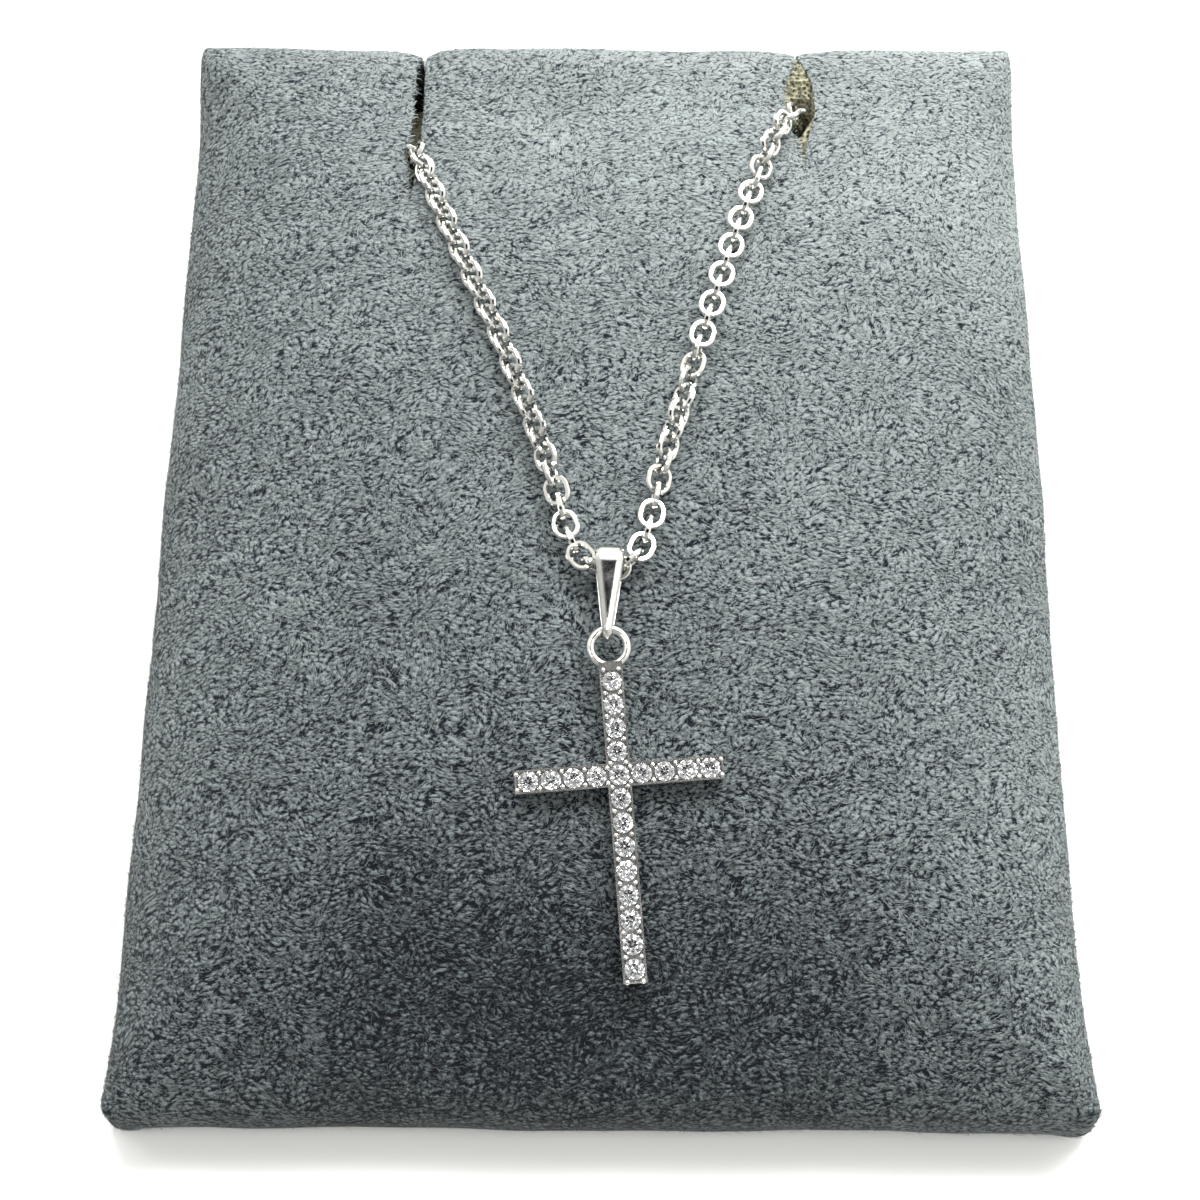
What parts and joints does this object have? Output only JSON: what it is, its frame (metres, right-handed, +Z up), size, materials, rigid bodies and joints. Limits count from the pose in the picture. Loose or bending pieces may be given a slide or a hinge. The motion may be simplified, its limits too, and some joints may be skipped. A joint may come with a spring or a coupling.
{
  "type": "cross pendant on a cable chain, lying on its flat display pad",
  "caption": "Slim cross pendant set with round stones, on a tapered bail and a flat-faced cable chain, lying on a crowned grey suede display pad with two slits.",
  "frame": {"origin": "middle of the display pad's underside, on the surface that it lies on", "axes": "+X across the pad, +Y along the pad towards its slit edge, +Z up out of the pad"},
  "size_m": [0.065, 0.082, 0.0149],
  "materials": {
    "silver": "polished bright white metal",
    "stone": "clear cut stone",
    "suede": "brushed microfibre suede with a short uneven nap",
    "foam": "open-cell foam"
  },
  "bodies": {
    "root": {"cross_setting": "silver", "bail": "silver", "chain_front": "silver", "chain_back": "silver", "clasp": "silver", "pad_cover": "suede", "pad_foam": "foam", "stone_01": "stone", "stone_02": "stone", "stone_03": "stone", "stone_04": "stone", "stone_05": "stone", "stone_06": "stone", "stone_07": "stone", "stone_08": "stone", "stone_09": "stone", "stone_10": "stone", "stone_11": "stone", "stone_12": "stone", "stone_13": "stone", "stone_14": "stone", "stone_15": "stone", "stone_16": "stone", "stone_17": "stone", "stone_18": "stone", "stone_19": "stone", "stone_20": "stone", "stone_21": "stone"}
  },
  "joints": []
}
